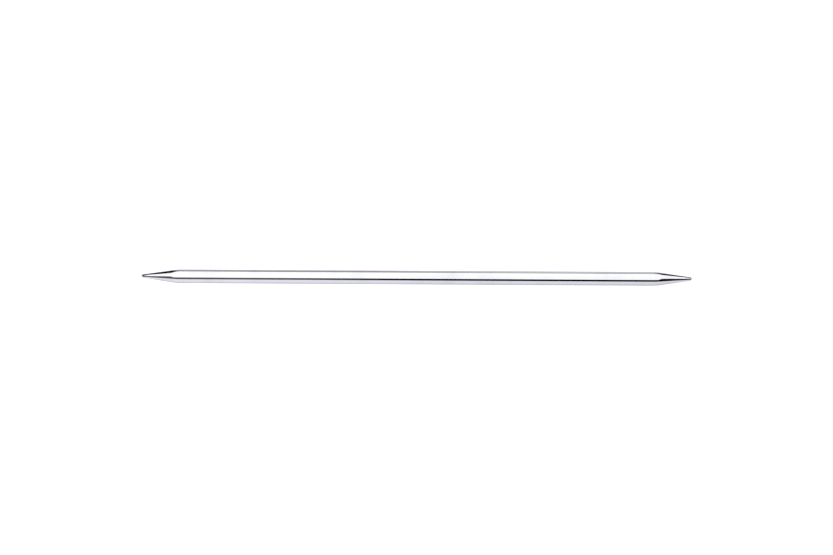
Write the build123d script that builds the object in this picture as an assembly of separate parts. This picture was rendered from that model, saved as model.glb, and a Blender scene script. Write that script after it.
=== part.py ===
"""Double pointed knitting needle: a plated tube, closed at both ends by turned points.

Each point has a spigot that is pushed into the tube's bore and held there by a ring
of solder, set in a groove round the spigot. Nothing on the needle moves.

Frame, in millimetres: +X along the needle towards the right-hand tip, +Z up, and the
origin on the needle's axis, midway between the two tips.
"""

from build123d import *
import math
import os

# The needle
NEEDLE_LENGTH = 200.0  # tip to tip
NEEDLE_DIAMETER = 5.0  # the needle's size, measured on its barrel
TUBE_WALL = 0.5  # wall of the drawn tube

# What shows of a point
TAPER_LENGTH = 13.0  # from the tip to where the cone meets the full diameter
NOSE_RADIUS = 0.65  # ball that rounds off the tip
SHOULDER_RADIUS = 25.0  # polished blend between the cone and the land
LAND_LENGTH = 2.5  # from that corner, which is blended away, to the joint with the tube
EDGE_BREAK = 0.02  # hairline chamfer on both sides of the joint

# What is inside the tube
SPIGOT_LENGTH = 9.0  # reach of a point into the bore
SPIGOT_LEAD_IN = 0.5  # chamfer that starts the spigot in the bore
BORE_LEAD_IN = 0.15  # chamfer at the mouth of the bore
GROOVE_OFFSET = 2.5  # from the joint to the solder groove
GROOVE_WIDTH = 1.2
GROOVE_DEPTH = 0.35

# Worked out from the sizes above
BARREL_RADIUS = NEEDLE_DIAMETER / 2
BORE_RADIUS = BARREL_RADIUS - TUBE_WALL  # the spigots are the same size, a press fit
TIP_X = NEEDLE_LENGTH / 2
CONE_X = TIP_X - TAPER_LENGTH  # where the cone begins
JOINT_X = CONE_X - LAND_LENGTH  # where a point meets the tube
GROOVE_OUTER_X = JOINT_X - GROOVE_OFFSET
GROOVE_INNER_X = GROOVE_OUTER_X - GROOVE_WIDTH
GROOVE_RADIUS = BORE_RADIUS - GROOVE_DEPTH

LEFT_HAND = Plane.YZ  # mirroring in it makes the left-hand piece


def turned(outline):
    """The solid swept by turning a closed outline, drawn as (x, radius), about the X axis."""
    return revolve(make_face(outline), Axis.X)


def barrel_tube():
    """The drawn tube, with square ends, a broken outer edge and a chamfered bore."""
    half = [
        (JOINT_X, BORE_RADIUS + BORE_LEAD_IN),
        (JOINT_X, BARREL_RADIUS - EDGE_BREAK),
        (JOINT_X - EDGE_BREAK, BARREL_RADIUS),
    ]
    mouth = (JOINT_X - BORE_LEAD_IN, BORE_RADIUS)
    other_half = [(-x, radius) for x, radius in reversed(half)]
    other_mouth = (-mouth[0], mouth[1])
    return turned(Polyline(mouth, *half, *other_half, other_mouth, close=True))


def nose():
    """The rounded tip: its arc, from where it leaves the cone to the tip itself."""
    centre = Vector(TIP_X - NOSE_RADIUS, 0)
    cone_start = Vector(CONE_X, BARREL_RADIUS)
    to_centre = centre - cone_start
    slope = math.atan2(BARREL_RADIUS, to_centre.X) - math.asin(NOSE_RADIUS / to_centre.length)

    def on_nose(lean):
        """A point on the ball, at an angle from straight out of the needle's side."""
        return centre + Vector(math.sin(lean), math.cos(lean)) * NOSE_RADIUS

    halfway = (slope + math.pi / 2) / 2
    return ThreePointArc(on_nose(slope), on_nose(halfway), (TIP_X, 0))


def right_point():
    """A point: rounded nose, cone and land outside, and the grooved spigot inside."""
    tip = nose()
    spigot_end = JOINT_X - SPIGOT_LENGTH
    corners = [
        (TIP_X, 0),
        (spigot_end, 0),
        (spigot_end, BORE_RADIUS - SPIGOT_LEAD_IN),
        (spigot_end + SPIGOT_LEAD_IN, BORE_RADIUS),
        (GROOVE_INNER_X, BORE_RADIUS),
        (GROOVE_INNER_X, GROOVE_RADIUS),
        (GROOVE_OUTER_X, GROOVE_RADIUS),
        (GROOVE_OUTER_X, BORE_RADIUS),
        (JOINT_X, BORE_RADIUS),
        (JOINT_X, BARREL_RADIUS - EDGE_BREAK),
        (JOINT_X + EDGE_BREAK, BARREL_RADIUS),
        (CONE_X, BARREL_RADIUS),
        tip @ 0,
    ]
    sharp = turned(Polyline(*corners) + tip)
    shoulder = sharp.edges().filter_by_position(Axis.X, CONE_X, CONE_X)
    return fillet(shoulder, SHOULDER_RADIUS)


def right_solder_ring():
    """The solder that fills the groove, between the spigot and the wall of the bore."""
    section = [
        (GROOVE_INNER_X, GROOVE_RADIUS),
        (GROOVE_OUTER_X, GROOVE_RADIUS),
        (GROOVE_OUTER_X, BORE_RADIUS),
        (GROOVE_INNER_X, BORE_RADIUS),
    ]
    return turned(Polyline(*section, close=True))


def main():
    """Makes each piece once and writes it under the name of its node."""
    point = right_point()
    ring = right_solder_ring()
    pieces = {
        "barrel_tube": barrel_tube(),
        "right_point": point,
        "right_solder_ring": ring,
        "left_point": mirror(point, LEFT_HAND),
        "left_solder_ring": mirror(ring, LEFT_HAND),
    }
    os.makedirs("parts", exist_ok=True)
    for name, piece in pieces.items():
        export_step(piece, f"parts/{name}.step")
        print(name, "volume", round(piece.volume, 1), "mm3")


main()
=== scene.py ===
# %% [markdown]
# # A double pointed knitting needle
#
# The needle is a plated brass tube with a turned brass point soldered into each end.
# Its sizes are settled in a CAD model, and this lesson gives it its looks in Blender:
# the camera and the light first, then the metals, then each piece by its own steps.
#
# The CAD model comes in first as a fixed frame. It says where every piece belongs, so
# no piece is placed by eye. Blender works in metres, and a needle is small, so its sizes
# are written in millimetres and multiplied by MM. The softbox and the floor are large,
# so theirs stay in metres.

# %% Load the frame
import math

import bmesh
import bpy
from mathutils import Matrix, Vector


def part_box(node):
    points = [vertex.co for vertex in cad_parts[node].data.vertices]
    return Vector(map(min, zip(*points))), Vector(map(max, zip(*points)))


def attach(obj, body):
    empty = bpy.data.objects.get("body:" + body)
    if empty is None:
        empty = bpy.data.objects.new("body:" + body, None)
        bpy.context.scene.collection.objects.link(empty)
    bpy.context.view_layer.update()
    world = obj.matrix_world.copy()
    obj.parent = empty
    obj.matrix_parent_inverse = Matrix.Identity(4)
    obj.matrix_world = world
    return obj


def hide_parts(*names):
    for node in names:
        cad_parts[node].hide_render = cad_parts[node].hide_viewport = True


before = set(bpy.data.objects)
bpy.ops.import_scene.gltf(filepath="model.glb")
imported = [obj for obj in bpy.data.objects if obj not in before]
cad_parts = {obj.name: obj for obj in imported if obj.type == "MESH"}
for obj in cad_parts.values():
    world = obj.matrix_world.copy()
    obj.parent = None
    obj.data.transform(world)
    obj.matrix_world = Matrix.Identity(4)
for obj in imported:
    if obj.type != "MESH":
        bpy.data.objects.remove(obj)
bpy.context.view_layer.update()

MM = 0.001
scene = bpy.context.scene
print("CAD nodes:", ", ".join(sorted(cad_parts)))

# %% [markdown]
# ## What the frame says
#
# The tube ends where the points begin, the points end at the tips, and the solder ring
# marks the groove that it was cast in. Those places are read from the CAD nodes' boxes.
# A box can't show a cone, a nose, a blend, a chamfer or the depth of a groove, so these
# are named below, as designed.

# %% Sizes
tube_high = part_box("barrel_tube")[1]
point_low, point_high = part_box("right_point")
ring_low, ring_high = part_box("right_solder_ring")

BARREL_RADIUS = tube_high.y
BORE_RADIUS = ring_high.y
TIP_X = point_high.x
JOINT_X = tube_high.x
GROOVE_OUTER_X = ring_high.x
GROOVE_INNER_X = ring_low.x
SPIGOT_END_X = point_low.x

TAPER_LENGTH = 13.0 * MM
NOSE_RADIUS = 0.65 * MM
SHOULDER_RADIUS = 25.0 * MM
EDGE_BREAK = 0.02 * MM
SPIGOT_LEAD_IN = 0.5 * MM
BORE_LEAD_IN = 0.15 * MM
GROOVE_DEPTH = 0.35 * MM

CONE_X = TIP_X - TAPER_LENGTH
GROOVE_RADIUS = BORE_RADIUS - GROOVE_DEPTH
print(f"needle {2 * TIP_X / MM:.1f} mm long and {2 * BARREL_RADIUS / MM:.2f} mm thick")

# %% [markdown]
# ## The camera
#
# For a product shot the needle lies across the frame, and the camera looks down on it
# from the front, here at 52 degrees. A short telephoto lens from seventy centimetres
# keeps both points the same size. Seen from a fraction of a degree to one side, the
# needle slopes a little, as if it had been laid down by hand.

# %% Camera
LENS = 85.0
CAMERA_DISTANCE = 714.0 * MM
CAMERA_ELEVATION = math.radians(52.0)
CAMERA_AZIMUTH = math.radians(0.4)

towards_camera = Vector((
    math.sin(CAMERA_AZIMUTH) * math.cos(CAMERA_ELEVATION),
    -math.cos(CAMERA_AZIMUTH) * math.cos(CAMERA_ELEVATION),
    math.sin(CAMERA_ELEVATION),
))
camera_data = bpy.data.cameras.new("product_camera")
camera_data.lens = LENS
camera_data.clip_start = 10.0 * MM
camera = bpy.data.objects.new("product_camera", camera_data)
camera.location = towards_camera * CAMERA_DISTANCE
camera.rotation_euler = (-towards_camera).to_track_quat("-Z", "Y").to_euler()
scene.collection.objects.link(camera)
scene.camera = camera

picture_width = camera_data.sensor_width * CAMERA_DISTANCE / LENS
print(f"the picture is {picture_width / MM:.0f} mm wide at the needle")

# %% [markdown]
# ## Helpers for colour and nodes
#
# A hex colour is written the way that a screen shows it, and shaders count in linear
# light, so one function turns the one into the other. The standard view shows the
# result unchanged, which suits a plain product shot better than a filmic curve does.
#
# A second function adds one node of any kind. What comes into the node is a value to
# set, or another node or output to link from, under the socket's name or number. The
# numbers are for nodes that have several sockets of one name: a Mix node takes its
# factor at 0, two numbers at 2 and 3, and two colours at 6 and 7.
#
# Two more add what this scene often needs, a smooth change and a mix of two colours.

# %% Colour and node helpers
scene.view_settings.view_transform = "Standard"


def linear(colour):
    """A hex colour as the linear red, green, blue and alpha that a shader wants."""
    channels = [int(colour[i:i + 2], 16) / 255 for i in (1, 3, 5)]
    light = [c / 12.92 if c <= 0.04045 else ((c + 0.055) / 1.055) ** 2.4 for c in channels]
    return (*light, 1.0)


def add(tree, kind, inputs=None, **settings):
    """Adds one node, with its settings, and with its inputs set or linked."""
    node = tree.nodes.new(kind)
    for name, value in settings.items():
        setattr(node, name, value)
    for name, value in (inputs or {}).items():
        if isinstance(value, bpy.types.Node):
            value = value.outputs[0]
        if isinstance(value, bpy.types.NodeSocket):
            tree.links.new(value, node.inputs[name])
        else:
            node.inputs[name].default_value = value
    return node


def fade(tree, value, places, first, last):
    """Adds a smooth change, from a first result to a last one, between two places."""
    return add(tree, "ShaderNodeMapRange", interpolation_type="SMOOTHSTEP", inputs={
        "Value": value,
        "From Min": places[0],
        "From Max": places[1],
        "To Min": first,
        "To Max": last,
    })


def colour_mix(tree, factor, first, last):
    """Adds a mix of two hex colours, and returns the colour that comes out of it."""
    mixed = add(tree, "ShaderNodeMix", data_type="RGBA", inputs={
        "Factor": factor,
        6: linear(first),
        7: linear(last),
    })
    return mixed.outputs[2]


def empty_material(name):
    """A new node material with nothing in it yet."""
    material = bpy.data.materials.new(name)
    material.use_nodes = True
    material.node_tree.nodes.clear()
    return material


print("view transform:", scene.view_settings.view_transform)

# %% [markdown]
# ## The light
#
# Polished metal has hardly any look of its own: it shows the studio. What it needs is a
# large soft light, and something dark for contrast. One long softbox hangs over the
# table and makes the broad white band. It is no wider than the barrel needs, so the
# points, which lean away to each side, mirror the dark past its ends.

# %% Softbox
SOFTBOX_WIDTH = 0.99
SOFTBOX_FRONT = Vector((-0.035, -1.02, 0.65))
SOFTBOX_BACK = Vector((0.061, 1.257, 0.98))
SOFTBOX_RADIANCE = 1.72

run = SOFTBOX_BACK - SOFTBOX_FRONT
softbox_data = bpy.data.lights.new("softbox", "AREA")
softbox_data.shape = "RECTANGLE"
softbox_data.size = SOFTBOX_WIDTH
softbox_data.size_y = run.length
softbox_data.energy = SOFTBOX_RADIANCE * math.pi * SOFTBOX_WIDTH * run.length
softbox = bpy.data.objects.new("softbox", softbox_data)
softbox.location = (SOFTBOX_FRONT + SOFTBOX_BACK) / 2
tilt = math.asin(run.z / run.length)
swing = -math.atan2(run.x, run.y)
softbox.rotation_euler = (tilt, 0.0, swing)
softbox.visible_camera = False
scene.collection.objects.link(softbox)
print(f"softbox {SOFTBOX_WIDTH:.2f} by {run.length:.2f} m, tilted {math.degrees(tilt):.1f} degrees")

# %% [markdown]
# ## The studio walls
#
# In front, below the softbox's edge, the studio is nearly black, and that draws the thin
# dark line along the needle. The wall is grey on the left, so the line is paler there.
# Behind stands a pale wall, brighter on the right, with a dark gap between its top and
# the softbox. Together they draw the soft line along the far edge.
#
# From the front, only the rounded noses mirror the walls past the needle's ends. From
# the side it mirrors little else, so they are white up to a dim ceiling, as in a light
# tent. What is seen directly, and not in the metal, is a plain white backdrop.
#
# A wall is a range of directions. A direction has three parts between -1 and 1: X from
# left to right, Y from front to back and Z upwards. Each pair of places below is where
# one tone starts to fade, and where the next one is reached.

# %% Studio walls
DARK = 0.005
WALL_LEFT = 0.21
BEHIND_LEFT = 0.80
BEHIND_RIGHT = 1.35
GAP_BEHIND = 0.10
WALL_ENDS = 1.65
CEILING_ENDS = 0.45
BACKDROP = 1.2

GREY_TO_DARK_X = (-0.08, 0.0)
BEHIND_CHANGE_X = (-0.03, 0.03)
BEHIND_TOP_Z = (0.46, 0.52)
BEHIND_SIDES_X = (0.12, 0.28)
FRONT_TO_BACK_Y = (-0.2, 0.3)
ENDS_X = (0.44, 0.6)
CEILING_Z = (0.45, 0.7)
HORIZON_Z = (0.0, 0.15)

studio = bpy.data.worlds.new("studio")
studio.use_nodes = True
scene.world = studio
walls = studio.node_tree
walls.nodes.clear()
looking = add(walls, "ShaderNodeTexCoord").outputs["Generated"]
towards = add(walls, "ShaderNodeSeparateXYZ", {"Vector": looking}).outputs
aside = add(walls, "ShaderNodeMath", {0: towards["X"]}, operation="ABSOLUTE")

wall_in_front = fade(walls, towards["X"], GREY_TO_DARK_X, WALL_LEFT, DARK)
lit_behind = fade(walls, towards["X"], BEHIND_CHANGE_X, BEHIND_LEFT, BEHIND_RIGHT)
up_the_back = fade(walls, towards["Z"], BEHIND_TOP_Z, lit_behind, GAP_BEHIND)
wall_behind = fade(walls, aside, BEHIND_SIDES_X, up_the_back, DARK)
behind = fade(walls, towards["Y"], FRONT_TO_BACK_Y, 0.0, 1.0)
wall = add(walls, "ShaderNodeMix", {0: behind, 2: wall_in_front, 3: wall_behind})

up_the_end = fade(walls, towards["Z"], CEILING_Z, WALL_ENDS, CEILING_ENDS)
wall_ends = fade(walls, towards["Z"], HORIZON_Z, DARK, up_the_end)
at_an_end = fade(walls, aside, ENDS_X, 0.0, 1.0)
tent = add(walls, "ShaderNodeMix", {0: at_an_end, 2: wall, 3: wall_ends})

mirrored = add(walls, "ShaderNodeBackground", {"Strength": tent})
backdrop = add(walls, "ShaderNodeBackground", {"Color": (1.0, 1.0, 1.0, 1.0), "Strength": BACKDROP})
straight_on = add(walls, "ShaderNodeLightPath").outputs["Is Camera Ray"]
either = add(walls, "ShaderNodeMixShader", {0: straight_on, 1: mirrored, 2: backdrop})
add(walls, "ShaderNodeOutputWorld", {"Surface": either})
print(f"walls {WALL_ENDS} at the ends, {WALL_LEFT} in front on the left, {BEHIND_RIGHT} behind")

# %% [markdown]
# ## The floor
#
# A sheet of matt white board. Part of its brightness is painted light: a glow of its
# own that fills the shadow under the needle, so the board shows no shadow. It is a
# shade cool, and the needle's underside mirrors that as pale lavender.
#
# The painted glow is weaker under the right-hand end than under the left, a painted
# fall-off of the light, and the underside shows it. Further out the board glows
# brighter, so it meets the backdrop without a line.

# %% Floor
FLOOR_RADIUS = 6.0
FLOOR_SIDES = 64
BOARD_COLOUR = "#9A9A9E"
GLOW_COLOUR = "#F8F5FF"
GLOW_LEFT = 1.08
GLOW_RIGHT = 0.90
GLOW_FAR = 1.12
NEAR_REACH = 0.3
FAR_REACH = 1.0

board = empty_material("white_board_with_painted_glow")
board_place = add(board.node_tree, "ShaderNodeTexCoord").outputs["Object"]
board_axes = add(board.node_tree, "ShaderNodeSeparateXYZ", {"Vector": board_place})
# Painted light: the glow is stronger under the left end than the right, and rises again further
# from the needle.
glow_near = add(board.node_tree, "ShaderNodeMapRange", {
    "Value": board_axes.outputs["X"],
    "From Min": -TIP_X,
    "From Max": TIP_X,
    "To Min": GLOW_LEFT,
    "To Max": GLOW_RIGHT,
})
from_needle = add(board.node_tree, "ShaderNodeVectorMath", {0: board_place}, operation="LENGTH")
glow = add(board.node_tree, "ShaderNodeMapRange", {
    "Value": from_needle.outputs["Value"],
    "From Min": NEAR_REACH,
    "From Max": FAR_REACH,
    "To Min": glow_near,
    "To Max": GLOW_FAR,
})
# The emission is painted light, which fills the needle's shadow on the board.
board_surface = add(board.node_tree, "ShaderNodeBsdfPrincipled", {
    "Base Color": linear(BOARD_COLOUR),
    "Roughness": 0.9,
    "Specular IOR Level": 0.0,
    "Emission Color": linear(GLOW_COLOUR),
    "Emission Strength": glow,
})
add(board.node_tree, "ShaderNodeOutputMaterial", {"Surface": board_surface})

bm = bmesh.new()
bmesh.ops.create_circle(bm, cap_ends=True, segments=FLOOR_SIDES, radius=FLOOR_RADIUS)
bmesh.ops.translate(bm, verts=bm.verts[:], vec=(0.0, 0.0, -BARREL_RADIUS))
floor_mesh = bpy.data.meshes.new("floor")
bm.to_mesh(floor_mesh)
bm.free()
floor_mesh.materials.append(board)
floor = bpy.data.objects.new("floor", floor_mesh)
scene.collection.objects.link(floor)
print(f"floor at {-BARREL_RADIUS / MM:.2f} mm, which touches the barrel's underside")

# %% [markdown]
# ## Chrome
#
# The needle is plated with bright chromium, a film thinner than a hair on polished
# metal. Chromium is a slightly cool grey mirror. It dulls at a glancing angle before it
# brightens, and for a metal that is what the specular tint sets.
#
# Close up it isn't perfect. The polishing wheel leaves hairlines, the metal under the
# plate is never quite true, and fingers leave a faint haze. Each is a pattern in the
# piece's own coordinates, with a scale that comes from a real size. Real hairlines are
# about a hundredth of a millimetre wide. These are drawn coarser, so that they show.

# %% Chrome plate
HAIRLINE_WIDTH = 0.12 * MM
HAIRLINE_LENGTH = 9.0 * MM
HAIRLINE_DEPTH = 0.0002 * MM
SWELL_LENGTH = 14.0 * MM
SWELL_DEPTH = 0.02 * MM
HAZE_SIZE = 8.0 * MM
HAZE_FROM = 0.45
HAZE_FULL = 0.75
CLEAN_ROUGHNESS = 0.03
HAZED_ROUGHNESS = 0.09
CLEAN_CHROME = "#C5C6C8"
HAZED_CHROME = "#BDBEC2"
GLANCING_TINT = "#B0B0B4"


def bright_chrome(name, along, across):
    """Bright chrome plate, with hairlines of a size along the needle and a size across it."""
    material = empty_material(name)
    tree = material.node_tree
    place = add(tree, "ShaderNodeTexCoord").outputs["Object"]
    stretched = add(tree, "ShaderNodeMapping", {
        "Vector": place,
        "Scale": (1 / along, 1 / across, 1 / across),
    })
    hairlines = add(tree, "ShaderNodeTexNoise", {
        "Vector": stretched,
        "Scale": 1.0,
        "Detail": 3.0,
    })
    swell = add(tree, "ShaderNodeTexNoise", {
        "Vector": place,
        "Scale": 1 / SWELL_LENGTH,
        "Detail": 0.0,
    })
    haze = add(tree, "ShaderNodeTexNoise", {
        "Vector": place,
        "Scale": 1 / HAZE_SIZE,
        "Detail": 4.0,
    })
    hazed = add(tree, "ShaderNodeMapRange", {
        "Value": haze,
        "From Min": HAZE_FROM,
        "From Max": HAZE_FULL,
    })
    roughness = add(tree, "ShaderNodeMapRange", {
        "Value": hazed,
        "To Min": CLEAN_ROUGHNESS,
        "To Max": HAZED_ROUGHNESS,
    })
    colour = colour_mix(tree, hazed, CLEAN_CHROME, HAZED_CHROME)
    wavy = add(tree, "ShaderNodeBump", {"Height": swell, "Distance": SWELL_DEPTH})
    brushed = add(tree, "ShaderNodeBump", {
        "Height": hairlines,
        "Distance": HAIRLINE_DEPTH,
        "Normal": wavy,
    })
    plate = add(tree, "ShaderNodeBsdfPrincipled", {
        "Base Color": colour,
        "Metallic": 1.0,
        "Roughness": roughness,
        "Specular Tint": linear(GLANCING_TINT),
        "Normal": brushed,
    })
    add(tree, "ShaderNodeOutputMaterial", {"Surface": plate})
    return material


tube_chrome = bright_chrome("bright_chrome_on_drawn_tube", HAIRLINE_LENGTH, HAIRLINE_WIDTH)
point_chrome = bright_chrome("bright_chrome_on_turned_point", HAIRLINE_WIDTH, HAIRLINE_LENGTH)
print("chrome:", tube_chrome.name, "and", point_chrome.name)

# %% [markdown]
# ## Bare brass
#
# Plating reaches only what shows. Inside, the bore keeps the brass as the drawing die
# left it, with scores along the tube, and the spigots keep the fine rings of the lathe
# tool. Brass with a third of zinc is a pale greenish gold, duller here with handling.

# %% Brass
SCORE_WIDTH = 0.08 * MM
SCORE_LENGTH = 25.0 * MM
TOOL_PITCH = 0.12 * MM
MARK_DEPTH = 0.003 * MM
DEEP_BRASS = "#D9BE7C"
PALE_BRASS = "#F0DFA4"
BRASS_SMOOTHEST = 0.2
BRASS_ROUGHEST = 0.45


def bare_brass(name, along, across):
    """Unplated brass, with tool marks of a size along the needle and a size across it."""
    material = empty_material(name)
    tree = material.node_tree
    place = add(tree, "ShaderNodeTexCoord").outputs["Object"]
    stretched = add(tree, "ShaderNodeMapping", {
        "Vector": place,
        "Scale": (1 / along, 1 / across, 1 / across),
    })
    marks = add(tree, "ShaderNodeTexNoise", {
        "Vector": stretched,
        "Scale": 1.0,
        "Detail": 2.0,
    })
    colour = colour_mix(tree, marks, DEEP_BRASS, PALE_BRASS)
    roughness = add(tree, "ShaderNodeMapRange", {
        "Value": marks,
        "To Min": BRASS_SMOOTHEST,
        "To Max": BRASS_ROUGHEST,
    })
    scored = add(tree, "ShaderNodeBump", {"Height": marks, "Distance": MARK_DEPTH})
    brass = add(tree, "ShaderNodeBsdfPrincipled", {
        "Base Color": colour,
        "Metallic": 1.0,
        "Roughness": roughness,
        "Normal": scored,
    })
    add(tree, "ShaderNodeOutputMaterial", {"Surface": brass})
    return material


drawn_brass = bare_brass("drawn_brass_bore", SCORE_LENGTH, SCORE_WIDTH)
turned_brass = bare_brass("turned_brass_spigot", TOOL_PITCH, SCORE_LENGTH)
print("brass:", drawn_brass.name, "and", turned_brass.name)

# %% [markdown]
# ## Solder
#
# The rings are soft tin solder. It froze against brass on every side, so it is a dull
# grey cast metal, a little grainy, with a faint yellow from the flux.

# %% Solder
GRAIN_SIZE = 0.3 * MM
GRAIN_DEPTH = 0.01 * MM
DEEP_SOLDER = "#9C9B94"
PALE_SOLDER = "#B9B8B0"
SOLDER_SMOOTHEST = 0.35
SOLDER_ROUGHEST = 0.6

solder = empty_material("cast_tin_solder")
solder_place = add(solder.node_tree, "ShaderNodeTexCoord").outputs["Object"]
grain = add(solder.node_tree, "ShaderNodeTexNoise", {
    "Vector": solder_place,
    "Scale": 1 / GRAIN_SIZE,
    "Detail": 3.0,
})
grain_colour = colour_mix(solder.node_tree, grain, DEEP_SOLDER, PALE_SOLDER)
grain_roughness = add(solder.node_tree, "ShaderNodeMapRange", {
    "Value": grain,
    "To Min": SOLDER_SMOOTHEST,
    "To Max": SOLDER_ROUGHEST,
})
grain_bump = add(solder.node_tree, "ShaderNodeBump", {"Height": grain, "Distance": GRAIN_DEPTH})
tin = add(solder.node_tree, "ShaderNodeBsdfPrincipled", {
    "Base Color": grain_colour,
    "Metallic": 1.0,
    "Roughness": grain_roughness,
    "Normal": grain_bump,
})
add(solder.node_tree, "ShaderNodeOutputMaterial", {"Surface": tin})
print("solder:", solder.name)

# %% [markdown]
# ## A lathe made of mesh operators
#
# Every piece of the needle is round, so each could be a stack of cylinders and cones.
# An outline that is turned about the axis is better: it has true blends between its
# stretches, no seams to weld, and it can be read like a turner's drawing.
#
# The outline starts as one vertex. Extruding it draws a straight stretch, and spinning
# it about a centre draws an arc. Spinning the whole outline about X then makes the
# skin. The ends of the outline that lie on the axis close up into a single vertex. One
# face could run the whole length of the barrel, but shorter ones keep the shading even,
# so long stretches are halved first until they are short.

# %% Outline helpers
def start_at(x, radius):
    """A new mesh that holds only the outline's first point, and that point."""
    drawing = bmesh.new()
    return drawing, drawing.verts.new((x, 0.0, radius))


def straight_to(drawing, last, x, radius):
    """Draws a straight stretch from the outline's last point, and returns its new one."""
    end = bmesh.ops.extrude_vert_indiv(drawing, verts=[last])["verts"][0]
    bmesh.ops.translate(drawing, verts=[end], vec=Vector((x, 0.0, radius)) - end.co)
    return end


def arc_about(drawing, last, x, radius, turn, steps):
    """Swings the last point about a centre, towards the tip, and returns the new one."""
    swung = bmesh.ops.spin(
        drawing, geom=[last], cent=(x, 0.0, radius), axis=(0.0, 1.0, 0.0),
        angle=turn, steps=steps,
    )
    return swung["geom_last"][0]


# %% The lathe
SIDES = 160
FACE_LENGTH = 3.0 * MM
WELD_GAP = 0.0001 * MM
CREASE = math.radians(20.0)


def turned(drawing, side=1.0):
    """Turns an outline about the needle's axis. A side of -1 makes the left-hand piece."""
    while long_edges := [e for e in drawing.edges if e.calc_length() > FACE_LENGTH]:
        bmesh.ops.subdivide_edges(drawing, edges=long_edges, cuts=1)
    bmesh.ops.spin(
        drawing, geom=drawing.verts[:] + drawing.edges[:], cent=(0.0, 0.0, 0.0),
        axis=(1.0, 0.0, 0.0), angle=math.tau, steps=SIDES, use_merge=True,
    )
    bmesh.ops.scale(drawing, verts=drawing.verts[:], vec=(side, 1.0, 1.0))
    bmesh.ops.remove_doubles(drawing, verts=drawing.verts[:], dist=WELD_GAP)
    bmesh.ops.recalc_face_normals(drawing, faces=drawing.faces[:])
    for face in drawing.faces:
        face.smooth = True
    for edge in drawing.edges:
        edge.smooth = edge.calc_face_angle(math.pi) < CREASE
    return drawing


def finished(drawing, name, node, materials):
    """Writes the mesh to an object that rides on the needle and stands for a CAD node."""
    volume = drawing.calc_volume(signed=True) / MM ** 3
    open_edges = sum(not edge.is_manifold for edge in drawing.edges)
    mesh = bpy.data.meshes.new(name)
    drawing.to_mesh(mesh)
    drawing.free()
    for material in materials:
        mesh.materials.append(material)
    piece = bpy.data.objects.new(name, mesh)
    scene.collection.objects.link(piece)
    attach(piece, "root")
    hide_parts(node)
    print(f"{name}: {len(mesh.polygons)} faces, {open_edges} open edges, {volume:.1f} mm3")


print(f"lathe with {SIDES} sides")

# %% [markdown]
# ## The barrel
#
# The barrel is a length of drawn tube. Its ends are cut square, their outer edges are
# broken with a hairline chamfer, and the bore has a chamfer that lets the spigots in.
# The outline is one lap round the wall, and it ends where it began.

# %% Barrel
drawing, first = start_at(-JOINT_X + BORE_LEAD_IN, BORE_RADIUS)
last = straight_to(drawing, first, -JOINT_X, BORE_RADIUS + BORE_LEAD_IN)
last = straight_to(drawing, last, -JOINT_X, BARREL_RADIUS - EDGE_BREAK)
last = straight_to(drawing, last, -JOINT_X + EDGE_BREAK, BARREL_RADIUS)
last = straight_to(drawing, last, JOINT_X - EDGE_BREAK, BARREL_RADIUS)
last = straight_to(drawing, last, JOINT_X, BARREL_RADIUS - EDGE_BREAK)
last = straight_to(drawing, last, JOINT_X, BORE_RADIUS + BORE_LEAD_IN)
last = straight_to(drawing, last, JOINT_X - BORE_LEAD_IN, BORE_RADIUS)
straight_to(drawing, last, first.co.x, first.co.z)
turned(drawing)

plate_from = BARREL_RADIUS - EDGE_BREAK / 2
for face in drawing.faces:
    outermost = max(math.hypot(vert.co.y, vert.co.z) for vert in face.verts)
    face.material_index = 0 if outermost > plate_from else 1
finished(drawing, "plated_barrel", "barrel_tube", [tube_chrome, drawn_brass])

# %% [markdown]
# ## The points
#
# A point is turned from solid rod in one go: spigot, land, cone and nose. The nose is a
# small ball, because a needle parts the stitches and must not split the yarn. The cone
# runs off the ball at a tangent, and polishing has blended the shoulder, where the cone
# meets the land, into a gentle arc. The angle of the cone follows from all three.

# %% Shape of the cone
nose_x = TIP_X - NOSE_RADIUS
reach = math.hypot(nose_x - CONE_X, BARREL_RADIUS)
slope = math.atan2(BARREL_RADIUS, nose_x - CONE_X) - math.asin(NOSE_RADIUS / reach)
blend = SHOULDER_RADIUS * math.tan(slope / 2)
print(f"the cone slopes by {math.degrees(slope):.2f} degrees")

# %% Points
SHOULDER_STEPS = 10
NOSE_STEPS = 14


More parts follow.
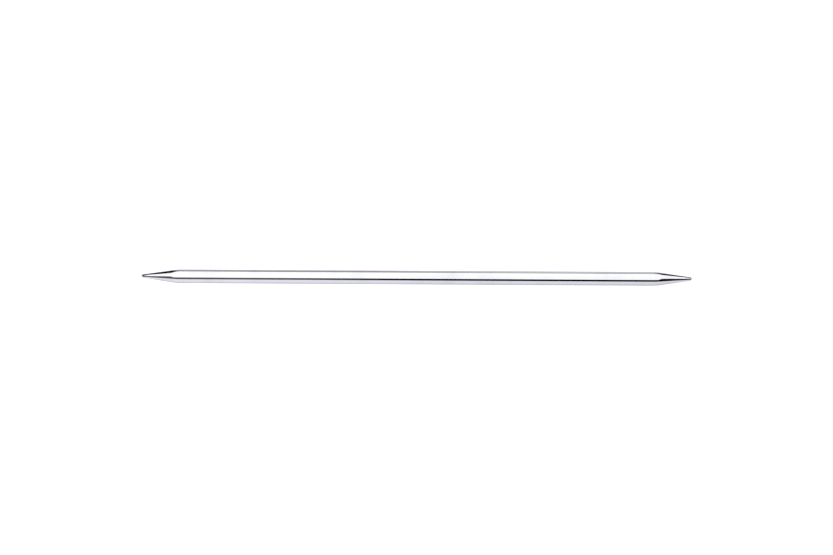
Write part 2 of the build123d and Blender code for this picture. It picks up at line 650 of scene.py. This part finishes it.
def point_outline():
    """Half of a right-hand point's section, from the spigot's end to the tip."""
    drawing, last = start_at(SPIGOT_END_X, 0.0)
    last = straight_to(drawing, last, SPIGOT_END_X, BORE_RADIUS - SPIGOT_LEAD_IN)
    last = straight_to(drawing, last, SPIGOT_END_X + SPIGOT_LEAD_IN, BORE_RADIUS)
    last = straight_to(drawing, last, GROOVE_INNER_X, BORE_RADIUS)
    last = straight_to(drawing, last, GROOVE_INNER_X, GROOVE_RADIUS)
    last = straight_to(drawing, last, GROOVE_OUTER_X, GROOVE_RADIUS)
    last = straight_to(drawing, last, GROOVE_OUTER_X, BORE_RADIUS)
    last = straight_to(drawing, last, JOINT_X, BORE_RADIUS)
    last = straight_to(drawing, last, JOINT_X, BARREL_RADIUS - EDGE_BREAK)
    last = straight_to(drawing, last, JOINT_X + EDGE_BREAK, BARREL_RADIUS)
    last = straight_to(drawing, last, CONE_X - blend, BARREL_RADIUS)
    shoulder_centre = (CONE_X - blend, BARREL_RADIUS - SHOULDER_RADIUS)
    last = arc_about(drawing, last, *shoulder_centre, slope, SHOULDER_STEPS)
    nose_start = (nose_x + NOSE_RADIUS * math.sin(slope), NOSE_RADIUS * math.cos(slope))
    last = straight_to(drawing, last, *nose_start)
    arc_about(drawing, last, nose_x, 0.0, math.pi / 2 - slope, NOSE_STEPS)
    return drawing


for hand, side in (("right", 1.0), ("left", -1.0)):
    drawing = turned(point_outline(), side)
    for face in drawing.faces:
        inside = abs(face.calc_center_median().x) < JOINT_X + WELD_GAP
        face.material_index = 1 if inside else 0
    materials = [point_chrome, turned_brass]
    finished(drawing, f"plated_{hand}_point", f"{hand}_point", materials)

# %% [markdown]
# ## The solder rings
#
# Solder is run into the joint and fills the groove round the spigot, so a ring has the
# groove's own section: a small rectangle, turned about the axis.

# %% Solder rings
for hand, side in (("right", 1.0), ("left", -1.0)):
    drawing, first = start_at(GROOVE_INNER_X, GROOVE_RADIUS)
    last = straight_to(drawing, first, GROOVE_OUTER_X, GROOVE_RADIUS)
    last = straight_to(drawing, last, GROOVE_OUTER_X, BORE_RADIUS)
    last = straight_to(drawing, last, GROOVE_INNER_X, BORE_RADIUS)
    straight_to(drawing, last, GROOVE_INNER_X, GROOVE_RADIUS)
    turned(drawing, side)
    finished(drawing, f"cast_{hand}_ring", f"{hand}_solder_ring", [solder])
